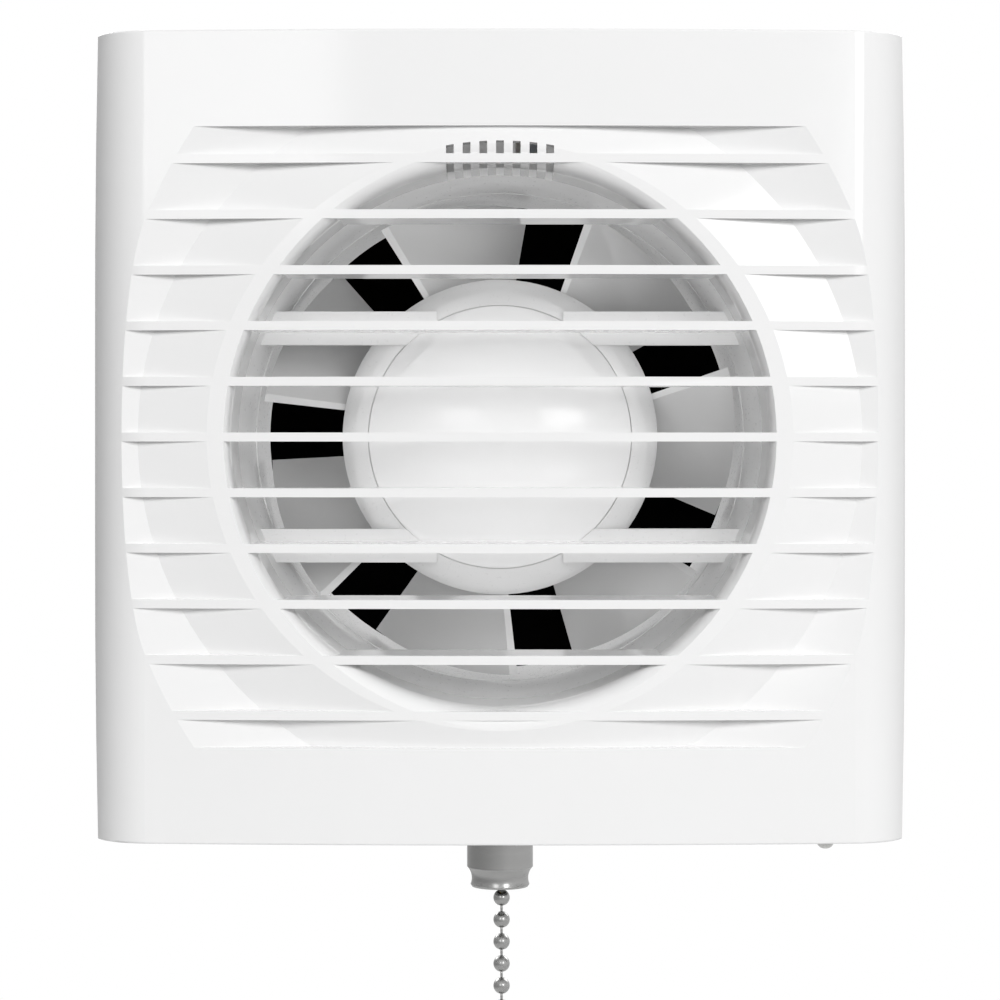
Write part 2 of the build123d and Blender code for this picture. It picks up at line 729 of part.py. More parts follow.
def motor_leads():
    first = lead(
        MOTOR_LEAD_DEPTH, 3.0, (-13, 19.9), (-57, 19.9), (-57, 44), (-47, 53), (-38, 53), (-38, 60)
    )
    second = lead(
        MOTOR_LEAD_DEPTH,
        3.0,
        (-13, 21.7),
        (-54.5, 21.7),
        (-54.5, 43),
        (-46, 50.7),
        (-29, 50.7),
        (-29, 60),
    )
    return first + second


def switch_leads():
    first = lead(
        SWITCH_LEAD_DEPTH,
        3.0,
        (-13, -62.3),
        (-44.7, -62.3),
        (-66, -41),
        (-66, 38),
        (-52.8, 51.2),
        (-20, 51.2),
        (-20, 60),
    )
    second = lead(
        SWITCH_LEAD_DEPTH,
        3.0,
        (-13, -64.3),
        (-45.5, -64.3),
        (-68, -41.8),
        (-68, 38.8),
        (-53.8, 53),
        (-29, 53),
        (-29, 60),
    )
    return first + second


# ---------------------------------------------------------------- pull switch
def switch_body():
    outer = block(
        (-SWITCH_HALF, SWITCH_HALF), (SWITCH_FRONT, SWITCH_BACK), (SWITCH_FLOOR, SWITCH_TOP)
    )
    inner = SWITCH_HALF - SWITCH_WALL
    cavity = block(
        (-inner, inner),
        (SWITCH_FRONT + SWITCH_WALL, SWITCH_BACK + 1),
        (SWITCH_FLOOR + SWITCH_WALL, SWITCH_TOP - SWITCH_WALL),
    )
    body = outer - cavity
    for x in (-COVER_SCREW[0], COVER_SCREW[0]):
        body = body + rod(1.8, (SWITCH_FRONT + 1, SWITCH_BACK), x, COVER_SCREW[1])
        body = body - rod(0.8, (18, SWITCH_BACK + 1), x, COVER_SCREW[1])
    body = body + rod(1.0, (SWITCH_FRONT + 1, 20.5), *LEVER_PIVOT)
    return body - post(BUSHING_RADIUS, (SWITCH_FLOOR - 1, -70), 0, SWITCH_DEPTH)


def switch_cover():
    plate = block(
        (-SWITCH_HALF, SWITCH_HALF), (SWITCH_BACK, SWITCH_BACK + 1.5), (SWITCH_FLOOR, SWITCH_TOP)
    )
    hood = block((-13, -5), (SWITCH_BACK + 1, 30.0), (-67.3, -60.3))
    cover = plate + hood - block((-11.5, -6.5), (SWITCH_BACK - 1, 29.0), (-66.3, -61.3))
    for x in (-COVER_SCREW[0], COVER_SCREW[0]):
        cover = cover - rod(0.8, (SWITCH_BACK - 1, 28), x, COVER_SCREW[1])
    return cover


def switch_cover_screws():
    screws = []
    for x in (-COVER_SCREW[0], COVER_SCREW[0]):
        head = rod(1.5, (SWITCH_BACK + 1.5, SWITCH_BACK + 2.5), x, COVER_SCREW[1])
        screws.append(head + rod(0.8, (19.0, SWITCH_BACK + 1.5), x, COVER_SCREW[1]))
    return joined(screws)


def switch_bushing():
    """Threaded tube that clamps the switch to the panel's bottom wall."""
    floor = SWITCH_FLOOR + SWITCH_WALL
    return turned_upright(
        0,
        SWITCH_DEPTH,
        (2.3, floor + 1),
        (6.2, floor + 1),
        (6.2, floor),
        (BUSHING_RADIUS, floor),
        (BUSHING_RADIUS, -79.0),
        (2.3, -79.0),
    )


def switch_bell():
    """Nut and flared mouth that the chain leaves through."""
    top = -PANEL_HALF
    shoulder = (BELL_RADIUS, -81.1)
    flare = (5.56, -84.45)
    outline = (
        Line((BELL_RADIUS, top), shoulder)
        + ThreePointArc(shoulder, (5.36, -82.9), flare)
        + Polyline(
            flare,
            (5.3, BELL_END),
            (4.8, BELL_END),
            (2.9, -80.6),
            (2.9, -79.3),
            (BUSHING_RADIUS, -79.3),
            (BUSHING_RADIUS, top),
            (BELL_RADIUS, top),
        )
    )
    bell = revolve(Plane.XZ * make_face(outline), Axis.Z)
    return Pos(0, y_at(SWITCH_DEPTH), 0) * bell


def pull_slider():
    """Plunger with a fork for the lever, and the link that carries the chain."""
    low, high = FORK_GAP
    front, back = SWITCH_DEPTH - 3, SWITCH_DEPTH + 3
    plate = block((-4.3, 5.9), (front, back), (low - 1.2, low))
    prong = block((-3, 5.9), (front, back), (high, high + 1.2))
    column = block((-3, 2.6), (front, back), (low, high))
    stem = post(STEM_RADIUS, (-76.0, low), 0, SWITCH_DEPTH)
    link = post(0.25, (PIVOT_BALL + BALL_RADIUS + 0.09, -75.5), CHAIN_X, SWITCH_DEPTH)
    bead = Pos(CHAIN_X, y_at(SWITCH_DEPTH), PIVOT_BALL + BALL_PITCH) * Sphere(BALL_RADIUS)
    return plate + prong + column + stem + link + bead


def return_spring():
    """Compression spring between the bushing and the plunger's plate."""
    wire = 0.35
    bottom = SWITCH_FLOOR + SWITCH_WALL + 1 + wire
    top = FORK_GAP[0] - 1.2 - wire
    path = Helix(pitch=(top - bottom) / 5, height=top - bottom, radius=3.3)
    section = Plane(origin=path @ 0, z_dir=path % 0) * Circle(wire)
    coil = sweep(section, path)
    return Pos(0, y_at(SWITCH_DEPTH), bottom) * coil


def lever_place():
    """Turns a lever shape made along -X about its pivot to the rest position."""
    return Pos(LEVER_PIVOT[0], 0, LEVER_PIVOT[1]) * Rot(Y=LEVER_REST)


def switch_lever():
    depth = (SWITCH_DEPTH - 1.5, SWITCH_DEPTH + 1.5)
    lever = rod(2.0, depth) + rod(0.9, depth, -LEVER_REACH)
    lever = lever + block((-LEVER_REACH, -1), depth, (-0.5, 0.5))
    lever = lever - rod(1.0 + RUNNING_GAP, (depth[0] - 1, depth[1] + 1))
    return lever_place() * lever


def moving_contact():
    depth = (SWITCH_DEPTH - 1.2, SWITCH_DEPTH + 1.2)
    blade = block((-0.3, 0.3), depth, (-4.8, -2.0)) + rod(0.6, depth, 0.0, -4.6)
    return lever_place() * (blade - rod(2.0, (10, 25)))


def fixed_contacts():
    depth = (SWITCH_DEPTH - 2, SWITCH_DEPTH + 2)
    wall = SWITCH_HALF - SWITCH_WALL
    side = block((wall - 0.35, wall), depth, (-69.0, -62.0))
    foot = block((7.5, 11.5), depth, (SWITCH_FLOOR + SWITCH_WALL, SWITCH_FLOOR + SWITCH_WALL + 0.5))
    return side + foot


def chain_ball():
    """Bead at the bell's mouth, where the chain bends."""
    return Pos(CHAIN_X, y_at(SWITCH_DEPTH), PIVOT_BALL) * Sphere(BALL_RADIUS)


def pull_chain():
    """Envelope of the bead chain, which hangs straight."""
    return post(BALL_RADIUS, (CHAIN_TOP - CHAIN_LENGTH, CHAIN_TOP), CHAIN_X, SWITCH_DEPTH)


def pull_end():
    """Turned knob on the end of the chain."""
    top = CHAIN_TOP - CHAIN_LENGTH
    low = top - PULL_END_LENGTH
    outline = (
        Polyline((0, top), (2.0, top), (2.3, top - 0.6))
        + Bezier((2.3, top - 0.6), (2.7, top - 6), (4.6, top - 9), (4.6, low + 2.5))
        + Bezier((4.6, low + 2.5), (4.6, low), (0, low))
        + Line((0, low), (0, top))
    )
    knob = revolve(Plane.XZ * make_face(outline), Axis.Z)
    return Pos(CHAIN_X, y_at(SWITCH_DEPTH), 0) * knob


NODES = {
    "front_panel": front_panel,
    "panel_screw": panel_screw,
    "rear_housing": rear_housing,
    "motor_carrier": motor_carrier,
    "carrier_screws": carrier_screws,
    "motor_cap": motor_cap,
    "stator_core": stator_core,
    "coil_bobbins": coil_bobbins,
    "stator_coils": stator_coils,
    "shading_rings": shading_rings,
    "motor_bracket_front": lambda: motor_bracket((28.2, 29.4), (29.4, 34.0), (28.2, 32.6)),
    "motor_bracket_rear": lambda: motor_bracket((50.6, 51.8), (46.0, 50.6), (47.4, 51.8)),
    "bearing_front": lambda: bearing((28.2, 32.6)),
    "bearing_rear": lambda: bearing((47.4, 51.8)),
    "motor_screws": motor_screws,
    "motor_leads": motor_leads,
    "shaft": shaft,
    "rotor_core": rotor_core,
    "thrust_washers": thrust_washers,
    "impeller": impeller,
    "impeller_clip": impeller_clip,
    "terminal_block": terminal_block,
    "terminal_inserts": terminal_inserts,
    "terminal_screws": terminal_screws,
    "terminal_fixing_screw": terminal_fixing_screw,
    "cable_clamp": cable_clamp,
    "cable_clamp_screws": cable_clamp_screws,
    "switch_body": switch_body,
    "switch_cover": switch_cover,
    "switch_cover_screws": switch_cover_screws,
    "switch_bushing": switch_bushing,
    "switch_bell": switch_bell,
    "fixed_contacts": fixed_contacts,
    "switch_leads": switch_leads,
    "pull_slider": pull_slider,
    "return_spring": return_spring,
    "switch_lever": switch_lever,
    "moving_contact": moving_contact,
    "chain_ball": chain_ball,
    "pull_chain": pull_chain,
    "pull_end": pull_end,
}

os.makedirs("parts", exist_ok=True)
for name, make in NODES.items():
    save(name, make())
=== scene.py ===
"""The looks of a bathroom extractor fan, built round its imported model, as Blender operators."""

import math
from types import SimpleNamespace

import bmesh
import bpy
from mathutils import Matrix, Vector


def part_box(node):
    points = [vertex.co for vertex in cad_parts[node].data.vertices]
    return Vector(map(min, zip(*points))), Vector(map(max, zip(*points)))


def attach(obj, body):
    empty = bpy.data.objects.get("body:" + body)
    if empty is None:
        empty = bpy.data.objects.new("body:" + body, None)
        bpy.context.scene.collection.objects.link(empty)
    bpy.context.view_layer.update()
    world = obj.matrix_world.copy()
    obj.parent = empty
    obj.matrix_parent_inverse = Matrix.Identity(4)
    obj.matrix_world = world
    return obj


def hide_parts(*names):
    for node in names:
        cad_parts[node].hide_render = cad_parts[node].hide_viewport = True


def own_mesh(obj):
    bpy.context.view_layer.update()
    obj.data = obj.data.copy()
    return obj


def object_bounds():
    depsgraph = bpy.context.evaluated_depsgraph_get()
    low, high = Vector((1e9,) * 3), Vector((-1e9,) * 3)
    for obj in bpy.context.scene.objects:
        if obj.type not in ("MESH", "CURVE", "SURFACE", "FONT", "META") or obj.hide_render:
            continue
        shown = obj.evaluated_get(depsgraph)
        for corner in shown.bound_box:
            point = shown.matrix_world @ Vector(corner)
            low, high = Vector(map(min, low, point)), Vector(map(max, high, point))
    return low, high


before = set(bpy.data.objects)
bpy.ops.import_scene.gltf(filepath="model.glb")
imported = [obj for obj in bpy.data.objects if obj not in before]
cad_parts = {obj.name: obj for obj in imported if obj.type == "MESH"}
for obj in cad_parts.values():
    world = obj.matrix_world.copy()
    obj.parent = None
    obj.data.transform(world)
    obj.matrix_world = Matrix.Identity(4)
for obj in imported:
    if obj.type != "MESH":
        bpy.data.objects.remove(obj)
CAD_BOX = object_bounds()

bl_info = {
    "name": "Extractor Fan",
    "version": (1, 0, 0),
    "blender": (4, 5, 0),
    "location": "View3D > Sidebar > Extractor Fan",
    "description": "Finishes, bead chain and studio for a bathroom extractor fan",
    "category": "Object",
}

MM = 0.001
WAVE_RADIANS = 20  # what a wave texture of scale 1 runs through in a unit
WHITE = (1.0, 1.0, 1.0, 1.0)
PANEL_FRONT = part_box("front_panel")[0].y
CHAIN_LOW, CHAIN_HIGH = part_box("pull_chain")
BEAD_LOW, BEAD_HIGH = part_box("chain_ball")
BLADES_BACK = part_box("impeller")[1].y
DUCT_SHADE_RADIUS = 47.19 * MM  # just inside the spigot's bore
DUCT_SHADE_GAP = 0.5 * MM
FLOOR_RADIUS = 0.5
FLOOR_FADE = (0.2, 0.48)
FLOOR_GAP = 3 * MM
AROUND = (0.2, 0.2, 3.0)  # draws a grain out round an upright turned part


# ---------------------------------------------------------------- colours and nodes
def linear(hex_colour):
    """An sRGB hex colour as linear red, green, blue and alpha."""
    channels = [int(hex_colour[first : first + 2], 16) / 255 for first in (1, 3, 5)]
    made = [c / 12.92 if c <= 0.04045 else ((c + 0.055) / 1.055) ** 2.4 for c in channels]
    return (*made, 1.0)


def feed(tree, node, **inputs):
    """Sets or links inputs of a node, by name or by i and their number."""
    for key, value in inputs.items():
        name = int(key[1:]) if key[1:].isdigit() else key.replace("_", " ")
        socket = node.inputs[name]
        if isinstance(value, bpy.types.NodeSocket):
            tree.links.new(value, socket)
        else:
            socket.default_value = value


def add_node(tree, kind, settings=None, **inputs):
    """Adds a node with its settings and links."""
    made = tree.nodes.new(kind)
    for key, value in (settings or {}).items():
        setattr(made, key, value)
    feed(tree, made, **inputs)
    return made


def per_mm(size_mm):
    """Texture scale, for coordinates in metres, of a pattern of that size in millimetres."""
    return 1.0 / (size_mm * MM)


def wave_per_mm(size_mm):
    """Scale of a wave texture, for coordinates in metres, whose bands are that far apart."""
    return per_mm(size_mm) * 2 * math.pi / WAVE_RADIANS


def start_finish(
    name, colours, drift, roughness, grain, relief, stretch=(1.0, 1.0, 1.0), **sockets
):
    """A material whose colour drifts, with a grain in its roughness and its relief.

    drift and grain are sizes of their patterns and relief is the grain's height, all in mm.
    """
    material = bpy.data.materials.new(name)
    material.use_nodes = True
    tree = material.node_tree
    shader = tree.nodes["Principled BSDF"]
    place = add_node(tree, "ShaderNodeTexCoord").outputs["Object"]
    flow = add_node(tree, "ShaderNodeMapping", Vector=place, Scale=stretch).outputs[0]
    cloud = add_node(tree, "ShaderNodeTexNoise", Vector=flow, Scale=per_mm(drift), Detail=3.0)
    fine = add_node(tree, "ShaderNodeTexNoise", Vector=flow, Scale=per_mm(grain), Detail=3.0)
    tint = add_node(
        tree,
        "ShaderNodeMix",
        {"data_type": "RGBA"},
        i0=cloud.outputs[0],
        i6=linear(colours[0]),
        i7=linear(colours[1]),
    )
    rough = add_node(
        tree, "ShaderNodeMapRange", i0=fine.outputs[0], i3=roughness[0], i4=roughness[1]
    )
    bump = add_node(
        tree, "ShaderNodeBump", Height=fine.outputs[0], Distance=relief * MM, Strength=0.4
    )
    feed(
        tree,
        shader,
        Base_Color=tint.outputs[2],
        Roughness=rough.outputs[0],
        Normal=bump.outputs[0],
        **sockets,
    )
    return SimpleNamespace(
        material=material, tree=tree, shader=shader, place=place, tint=tint, bump=bump
    )


# ---------------------------------------------------------------- materials
def gloss_white_abs(colour):
    """Injection-moulded ABS, polished mould: crisp clear reflections that soften in patches."""
    return start_finish(
        "gloss_white_abs",
        (colour, "#F2F2F2"),
        drift=45,
        roughness=(0.07, 0.12),
        grain=6,
        relief=0.0,
        IOR=1.54,
    ).material


def semi_gloss_white_abs(colour):
    """ABS cap from a lightly blasted mould: white, with softened mirror images of the lights."""
    return start_finish(
        "semi_gloss_white_abs",
        (colour, "#F1F1F1"),
        drift=30,
        roughness=(0.12, 0.18),
        grain=0.9,
        relief=0.002,
        IOR=1.54,
    ).material


def satin_white_abs(colour):
    """ABS from a finely blasted mould, with wide soft highlights. It is coloured a shade greyer
    than the cap: painted shade on the carrier behind the slats.
    """
    return start_finish(
        "satin_white_abs",
        (colour, "#E2E2E2"),
        drift=30,
        roughness=(0.24, 0.34),
        grain=0.7,
        relief=0.004,
        IOR=1.54,
    ).material


def satin_grey_abs(colour):
    """ABS blades: a light grey with a fine satin grain and faint cloudy patches."""
    return start_finish(
        "satin_grey_abs",
        (colour, "#D2D2D2"),
        drift=16,
        roughness=(0.34, 0.48),
        grain=0.5,
        relief=0.008,
        IOR=1.54,
    ).material


def natural_nylon(colour):
    """Unfilled nylon 6.6: milky and slightly translucent, with a dry sheen."""
    return start_finish(
        "natural_nylon",
        (colour, "#D8D5C8"),
        drift=6,
        roughness=(0.42, 0.58),
        grain=2,
        relief=0.01,
        IOR=1.53,
        Subsurface_Weight=0.15,
        Subsurface_Scale=0.002,
    ).material


def black_phenolic(colour):
    """Compression-moulded phenolic: brown-black with a dry sheen and pale filler specks."""
    made = start_finish(
        "black_phenolic",
        (colour, "#38302C"),
        drift=9,
        roughness=(0.35, 0.6),
        grain=1.2,
        relief=0.01,
        IOR=1.6,
    )
    dust = add_node(
        made.tree, "ShaderNodeTexNoise", Vector=made.place, Scale=per_mm(0.5), Detail=4.0
    )
    specks = add_node(made.tree, "ShaderNodeMapRange", i0=dust.outputs[0], i1=0.62, i2=0.8)
    flecked = add_node(
        made.tree,
        "ShaderNodeMix",
        {"data_type": "RGBA"},
        i0=specks.outputs[0],
        i6=made.tint.outputs[2],
        i7=linear("#6A5A4E"),
    )
    feed(made.tree, made.shader, Base_Color=flecked.outputs[2])
    return made.material


def turned(made, spacing, depth):
    """Cuts the fine rings that a lathe tool leaves into a finish, across the upright axis."""
    rings = add_node(
        made.tree,
        "ShaderNodeTexWave",
        {"wave_type": "BANDS", "bands_direction": "Z"},
        Vector=made.place,
        Scale=wave_per_mm(spacing),
        Distortion=0.6,
    )
    cut = add_node(
        made.tree,
        "ShaderNodeBump",
        Height=rings.outputs[1],
        Normal=made.bump.outputs[0],
        Distance=depth * MM,
        Strength=0.35,
    )
    feed(made.tree, made.shader, Normal=cut.outputs[0])
    return made.material


def layered(made, direction, spacing, joint_and_groove_shade, depth, strength, distortion=0.0):
    """Lays parallel sheets or turns of wire into a finish, with a darker colour in the sunken
    lines between: dark joints between sheets, and painted shade in the grooves between turns of
    wire.
    """
    layers = add_node(
        made.tree,
        "ShaderNodeTexWave",
        {"wave_type": "BANDS", "bands_direction": direction},
        Vector=made.place,
        Scale=wave_per_mm(spacing),
        Distortion=distortion,
    )
    shade = add_node(
        made.tree,
        "ShaderNodeMix",
        {"data_type": "RGBA"},
        i0=layers.outputs[1],
        i6=linear(joint_and_groove_shade),
        i7=made.tint.outputs[2],
    )
    steps = add_node(
        made.tree,
        "ShaderNodeBump",
        Height=layers.outputs[1],
        Distance=depth * MM,
        Strength=strength,
    )
    feed(made.tree, made.shader, Base_Color=shade.outputs[2], Normal=steps.outputs[0])
    return made.material


def satin_nickel(colour):
    """Nickel plate over turned brass: grey-white metal with fine turning rings under the satin.

    The rings are drawn 0.35 mm apart, which is coarser than a real tool's feed, so that they show.
    """
    made = start_finish(
        "satin_nickel",
        (colour, "#AFAFAE"),
        drift=4,
        roughness=(0.22, 0.29),
        grain=0.8,
        relief=0.0004,
        stretch=AROUND,
        Metallic=1.0,
    )
    return turned(made, spacing=0.35, depth=0.0012)


def turned_brass(colour):
    """Free-cutting brass: warm yellow with tool marks, drawn 0.4 mm apart so that they show."""
    made = start_finish(
        "turned_brass",
        (colour, "#9B7A36"),
        drift=0.5,
        roughness=(0.22, 0.42),
        grain=0.5,
        relief=0.003,
        stretch=(0.3, 0.3, 4.0),
        Metallic=1.0,
    )
    return turned(made, spacing=0.4, depth=0.008)


def zinc_plated_steel(colour):
    """Bright zinc on steel: cool grey with a faint spangle."""
    return start_finish(
        "zinc_plated_steel",
        (colour, "#8F959B"),
        drift=1.6,
        roughness=(0.24, 0.42),
        grain=0.8,
        relief=0.003,
        Metallic=1.0,
    ).material


def laminated_silicon_steel(colour):
    """Stacked 0.5 mm electrical steel: dark grey, with the edges of the sheets as lines."""
    made = start_finish(
        "laminated_silicon_steel",
        (colour, "#55575A"),
        drift=4,
        roughness=(0.42, 0.62),
        grain=0.7,
        relief=0.01,
        Metallic=1.0,
    )
    return layered(made, "Y", spacing=0.5, joint_and_groove_shade="#26282A", depth=0.05, strength=0.6)


def enamelled_copper_wire(colour):
    """Wound magnet wire: amber-red lacquer over copper, with the turns as fine ridges."""
    made = start_finish(
        "enamelled_copper_wire",
        (colour, "#8A3A18"),
        drift=3,
        roughness=(0.22, 0.4),
        grain=1,
        relief=0.01,
        Metallic=1.0,
        Coat_Weight=0.6,
        Coat_Roughness=0.15,
    )
    # The darker colour between the turns is painted shade in their grooves.
    return layered(
        made, "X", spacing=0.4, joint_and_groove_shade="#4A1D0C", depth=0.1, strength=0.8, distortion=0.8
    )


def bare_copper(colour):
    """Drawn copper bar, dulled in patches by heat."""
    return start_finish(
        "bare_copper",
        (colour, "#7E4630"),
        drift=2,
        roughness=(0.3, 0.5),
        grain=0.6,
        relief=0.004,
        Metallic=1.0,
    ).material


def sintered_bronze(colour):
    """Oil-filled sintered bronze: brown and open-grained, its pores dark and wet."""
    return start_finish(
        "sintered_bronze",
        (colour, "#4A3420"),
        drift=0.35,
        roughness=(0.3, 0.7),
        grain=0.35,
        relief=0.03,
        Metallic=1.0,
    ).material


def pvc_sheath(colour):
    """Extruded PVC insulation: smooth and soft-looking, with a faint uneven sheen."""
    return start_finish(
        "pvc_sheath",
        (colour, "#7C8187"),
        drift=3,
        roughness=(0.32, 0.5),
        grain=0.8,
        relief=0.004,
        IOR=1.53,
    ).material


def white_painted_steel(colour):
    """A screw head stove-painted white: glossy, with the paint's slight orange peel."""
    return start_finish(
        "white_painted_steel",
        (colour, "#E4E4E0"),
        drift=2.5,
        roughness=(0.14, 0.24),
        grain=0.8,
        relief=0.015,
    ).material


def bright_spring_steel(colour):
    """Drawn spring wire: blue-grey, with a fine streaky grain."""
    return start_finish(
        "bright_spring_steel",
        (colour, "#70757B"),
        drift=0.8,
        roughness=(0.2, 0.4),
        grain=0.5,
        relief=0.003,
        Metallic=1.0,
    ).material


# ---------------------------------------------------------------- settings
class FanSettings(bpy.types.PropertyGroup):
    """Colours of the fan's finishes, and sizes of its chain and its switch's spring."""

    shell: bpy.props.StringProperty(
        name="Shell white",
        description="Colour of the gloss mouldings, as a hex value",
        default="#F5F5F5",
    )
    cap: bpy.props.StringProperty(
        name="Cap white", description="Colour of the motor cap, as a hex value", default="#F5F5F5"
    )
    carrier: bpy.props.StringProperty(
        name="Carrier white",
        description="Colour of the satin mouldings, as a hex value",
        # A shade greyer than the cap: painted shade on the carrier behind the slats.
        default="#E8E8E8",
    )
    blades: bpy.props.StringProperty(
        name="Blade grey", description="Colour of the impeller, as a hex value", default="#DADADA"
    )
    nickel: bpy.props.StringProperty(
        name="Nickel",
        description="Colour of the plated bell and beads, as a hex value",
        default="#B9B9B8",
    )
    bead_diameter: bpy.props.FloatProperty(
        name="Bead diameter",
        description="Diameter of a bead of the pull chain",
        default=BEAD_HIGH.x - BEAD_LOW.x,
        unit="LENGTH",
        precision=5,
    )
    bead_pitch: bpy.props.FloatProperty(
        name="Bead pitch",
        description="Distance from one bead to the next",
        default=4.18 * MM,
        unit="LENGTH",
        precision=5,
    )
    spring_wire: bpy.props.FloatProperty(
        name="Spring wire",
        description="Diameter of the wire of the switch's return spring",
        default=0.7 * MM,
        unit="LENGTH",
        precision=5,
    )
    link_diameter: bpy.props.FloatProperty(
        name="Link diameter",
        description="Diameter of the wire links between the beads",
        default=0.46 * MM,
        unit="LENGTH",
        precision=5,
    )


class StudioSettings(bpy.types.PropertyGroup):
    """The camera's place and lens, and the strengths of the lights."""

    distance: bpy.props.FloatProperty(
        name="Camera distance",
        description="From the camera to the front of the panel",
        default=0.54,
        unit="LENGTH",
    )
    lens: bpy.props.FloatProperty(
        name="Lens",
        description="Focal length of the camera, in millimetres",
        default=105.95,
        unit="CAMERA",
    )
    drop: bpy.props.FloatProperty(
        name="Frame drop",
        description="Camera shift, as a share of the frame's width",
        default=-0.063,
    )
    sky: bpy.props.FloatProperty(
        name="Surround", description="Strength of the white surround as a light", default=0.28
    )
    right: bpy.props.FloatProperty(
        name="Right softbox",
        description="Radiance of the softbox to the right of the camera",
        default=3.6,
    )
    left: bpy.props.FloatProperty(
        name="Left softbox",
        description="Radiance of the softbox to the left of the camera",
        default=1.8,
    )
    rear: bpy.props.FloatProperty(
        name="Rear softboxes",
        description="Radiance of the two softboxes behind the fan",
        default=3.2,
    )
    mirrored: bpy.props.FloatProperty(
        name="Mirrored surround",
        description="Strength that the surround gains in reflections",
        default=0.3,
    )
    inner: bpy.props.FloatProperty(
        name="Inner fill",
        description="Radiance of the screen that lights the pieces behind the slats",
        default=1.95,
    )
    front: bpy.props.FloatProperty(
        name="Front fill", description="Radiance of the matt screen above the camera", default=10.6
    )


# ---------------------------------------------------------------- helpers for pieces
def give(material, *nodes):
    """Puts a material on CAD nodes."""
    for name in nodes:
        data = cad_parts[name].data
        data.materials.clear()
        data.materials.append(material)


def mesh_piece(name, mesh, material, body):
    """A new piece from a bmesh, riding on a body."""
    data = bpy.data.meshes.new(name)
    mesh.to_mesh(data)
    mesh.free()
    data.materials.append(material)
    for face in data.polygons:
        face.use_smooth = True
    made = bpy.data.objects.new(name, data)
    bpy.context.scene.collection.objects.link(made)
    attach(made, body)
    return made


def spline_points(route):
    """Points along the NURBS curve through a route, in order from its start."""
    curve = bpy.data.curves.new("route", "CURVE")
    curve.dimensions = "3D"
    spline = curve.splines.new("NURBS")
    spline.points.add(len(route) - 1)
    for point, place in zip(spline.points, route):
        point.co = (*place, 1.0)
    spline.order_u = 3
    spline.use_endpoint_u = True
    spline.resolution_u = 24
    carrier = bpy.data.objects.new("route", curve)
    bpy.context.scene.collection.objects.link(carrier)
    line = bpy.data.meshes.new_from_object(carrier)
    points = [v.co.copy() for v in line.vertices]
    bpy.data.objects.remove(carrier)
    bpy.data.curves.remove(curve)
    bpy.data.meshes.remove(line)
    return points


def turn_profile(mesh, profile, place, steps=32):
    """Turns (radius, height) points about an upright line through a place, as part of a mesh."""
    rings = []
    for radius, height in profile:
        ring = []
        for step in range(steps):
            angle = 2 * math.pi * step / steps
            offset = Vector((radius * math.cos(angle), radius * math.sin(angle), height))
            ring.append(mesh.verts.new(place + offset))
        rings.append(ring)
    for lower, upper in zip(rings, rings[1:]):
        for step in range(steps):
            after = (step + 1) % steps
            mesh.faces.new((lower[step], lower[after], upper[after], upper[step]))
    for ring, turned_over in ((rings[0], True), (rings[-1], False)):
        mesh.faces.new(reversed(ring) if turned_over else ring)


def arc(centre, radius, start, end, steps):
    """Points of an arc in (radius, height), between two angles in degrees."""
    points = []
    for step in range(steps + 1):
        angle = math.radians(start + (end - start) * step / steps)
        points.append((centre[0] + radius * math.cos(angle), centre[1] + radius * math.sin(angle)))
    return points


def bead_profile(radius):
    """A hollow pressed bead: a ball with a rolled rim round the hole at each end."""
    hole = 0.24 * radius
    rim = math.degrees(math.acos(hole / radius))
    lip = 0.88 * math.sin(math.radians(rim)) * radius
    throat, throat_end = 0.4 * hole, 0.96 * lip
    outer = arc((0.0, 0.0), radius, -rim, rim, 18)
    return [(throat, -throat_end), (hole, -lip), *outer, (hole, lip), (throat, throat_end)]


def at_length(points, lengths):
    """Places at given distances along a line of points."""
    places = []
    for wanted in lengths:
        for start, end in zip(points, points[1:]):
            run = (end - start).length
            if wanted <= run:
                break
            wanted -= run
        places.append(start.lerp(end, min(wanted / run, 1.0)))
    return places


def settings():
    """The colours and sizes that the panel's user can change."""
    return bpy.context.scene.fan_settings


def studio():
    """The camera's and lights' settings."""
    return bpy.context.scene.studio_settings


# ---------------------------------------------------------------- pieces
class FAN_OT_shell(bpy.types.Operator):
    """Finish the front panel, its screw and the rear housing"""

    bl_idname = "fan.shell"
    bl_label = "Shell"

    def execute(self, context):
        give(gloss_white_abs(settings().shell), "front_panel")
        give(semi_gloss_white_abs(settings().cap), "motor_cap")
        give(satin_white_abs(settings().carrier), "rear_housing", "motor_carrier")
        give(white_painted_steel("#F0F0EE"), "panel_screw")
        return {"FINISHED"}


class FAN_OT_impeller(bpy.types.Operator):
    """Finish the impeller and the clip that holds it"""

    bl_idname = "fan.impeller"
    bl_label = "Impeller"

    def execute(self, context):
        give(satin_grey_abs(settings().blades), "impeller")
        give(bright_spring_steel("#9AA0A6"), "impeller_clip")
        return {"FINISHED"}


class FAN_OT_motor(bpy.types.Operator):
    """Finish the motor, its shaft and its bearings"""

    bl_idname = "fan.motor"
    bl_label = "Motor"

    def execute(self, context):
        give(laminated_silicon_steel("#3F4144"), "stator_core", "rotor_core")
        nylon = ["coil_bobbins", "thrust_washers", "pull_slider", "switch_lever"]
        give(natural_nylon("#ECEAE0"), *nylon)
        give(enamelled_copper_wire("#A34A20"), "stator_coils")
        give(bare_copper("#B5694A"), "shading_rings")
        give(sintered_bronze("#8A6A42"), "bearing_front", "bearing_rear")
        zinc = [
            "motor_bracket_front",
            "motor_bracket_rear",
            "motor_screws",
            "shaft",
            "carrier_screws",
            "terminal_screws",
            "terminal_fixing_screw",
            "cable_clamp_screws",
            "switch_cover_screws",
        ]
        give(zinc_plated_steel("#B9BDC1"), *zinc)
        return {"FINISHED"}


